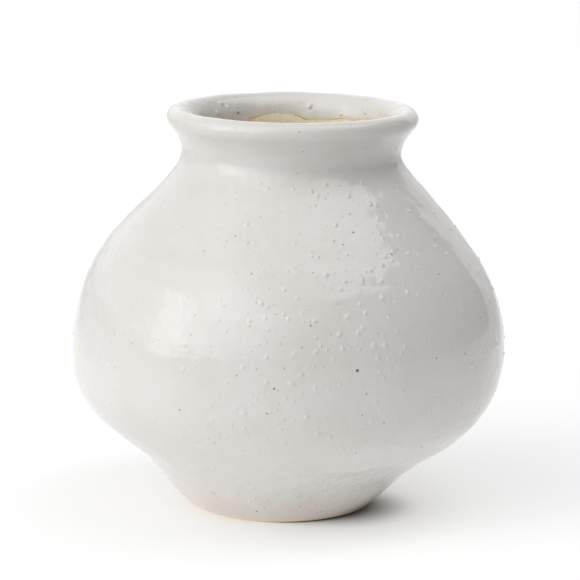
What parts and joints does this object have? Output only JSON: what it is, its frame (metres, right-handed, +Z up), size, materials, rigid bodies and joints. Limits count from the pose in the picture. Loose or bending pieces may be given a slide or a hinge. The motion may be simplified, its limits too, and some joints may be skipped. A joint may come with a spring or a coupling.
{
  "type": "bud vase",
  "caption": "Round-bellied stoneware vase with a narrow turned foot, short open neck and rolled lip, glazed outside and bare clay inside.",
  "frame": {"origin": "on the vase's axis, in the plane of the foot ring that stands on the table", "axes": "+Z up along the axis it was thrown about; +X and +Y are level, and any turn about Z is the same"},
  "size_m": [0.1346, 0.1346, 0.1254],
  "materials": {
    "bare_clay": "matte",
    "white_glaze": "gloss"
  },
  "bodies": {
    "root": {"clay_body": "bare_clay", "glaze_coat": "white_glaze"}
  },
  "joints": []
}
